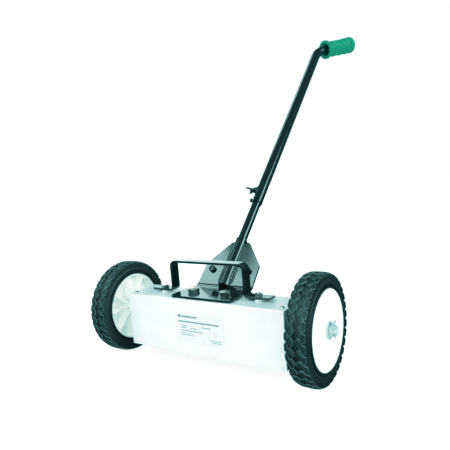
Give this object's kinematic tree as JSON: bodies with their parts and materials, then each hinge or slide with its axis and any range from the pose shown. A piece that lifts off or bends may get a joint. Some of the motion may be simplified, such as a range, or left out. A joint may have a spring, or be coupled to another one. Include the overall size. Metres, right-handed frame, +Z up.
{
  "type": "magnetic nail sweeper",
  "caption": "Push magnetic sweeper for picking up nails: a white sheet metal housing between lugged wheels, a bail that lifts the magnet bar, and a telescoping tube handle with a bent grip.",
  "frame": {"origin": "on the floor midway between the two wheels, straight below the axle line", "axes": "+X along the axle line towards the right-hand wheel seen from the front, +Y to the back, where the handle leans, +Z up"},
  "size_m": [0.47, 0.7798, 0.6848],
  "materials": {
    "white_paint": "gloss white powder coat",
    "black_paint": "gloss black paint",
    "zinc": "bright zinc plate",
    "black_oxide": "satin black",
    "stainless": "satin",
    "ferrite": "ground ceramic",
    "rubber": "moulded",
    "white_plastic": "moulded",
    "green_plastic": "moulded",
    "label_paper": "printed film, left blank"
  },
  "bodies": {
    "frame": {"housing_shell": "white_paint", "end_plate_left": "black_paint", "end_plate_right": "black_paint", "handle_bracket": "black_paint", "handle_socket": "black_paint", "lower_tube": "black_paint", "bottom_tray": "stainless", "base_bolt_left": "zinc", "base_bolt_right": "zinc", "base_nut_left": "zinc", "base_nut_right": "zinc", "spindle_left": "zinc", "spindle_right": "zinc", "spindle_nut_left": "zinc", "spindle_nut_right": "zinc", "spacer_left": "zinc", "spacer_right": "zinc", "washer_left": "zinc", "washer_right": "zinc", "castle_nut_left": "zinc", "castle_nut_right": "zinc", "cotter_pin_left": "zinc", "cotter_pin_right": "zinc", "top_screw_left": "zinc", "top_screw_right": "zinc", "back_screw_left": "zinc", "back_screw_right": "zinc", "guide_bush_left": "white_plastic", "guide_bush_right": "white_plastic", "upright_bolt_left": "black_oxide", "upright_bolt_right": "black_oxide", "upright_nut_left": "black_oxide", "upright_nut_right": "black_oxide", "label_plate": "label_paper"},
    "magnet_lift": {"bail": "black_paint", "lift_stud_left": "zinc", "lift_stud_right": "zinc", "foot_nut_left": "zinc", "foot_nut_right": "zinc", "magnet_carrier": "black_paint", "magnet_1": "ferrite", "magnet_2": "ferrite", "magnet_3": "ferrite", "magnet_4": "ferrite", "magnet_5": "ferrite", "magnet_6": "ferrite"},
    "wheel_left": {"hub_left": "white_plastic", "tyre_left": "rubber"},
    "wheel_right": {"hub_right": "white_plastic", "tyre_right": "rubber"},
    "upper_handle": {"upper_tube": "black_paint", "grip": "green_plastic", "clamp_boss": "black_paint", "stop_screw": "black_oxide"},
    "wing": {"wing_bolt": "black_oxide"}
  },
  "joints": [
    {"name": "magnet_lift_slide", "type": "slide", "parent": "frame", "child": "magnet_lift", "axis": [0, 0, 1], "range_m": [0, 0.035]},
    {"name": "wheel_left_spin", "type": "hinge", "parent": "frame", "child": "wheel_left", "pos_m": [-0.2, 0, 0.0889], "axis": [1, 0, 0], "continuous": true},
    {"name": "wheel_right_spin", "type": "hinge", "parent": "frame", "child": "wheel_right", "pos_m": [0.2, 0, 0.0889], "axis": [1, 0, 0], "continuous": true},
    {"name": "handle_telescope", "type": "slide", "parent": "frame", "child": "upper_handle", "axis": [0, 0.7218, 0.6921], "range_m": [-0.088, 0.2]},
    {"name": "wing_bolt_turn", "type": "hinge", "parent": "upper_handle", "child": "wing", "pos_m": [0, 0.2191, 0.29704], "axis": [-1, 0, 0], "range_deg": [0, 360]}
  ]
}
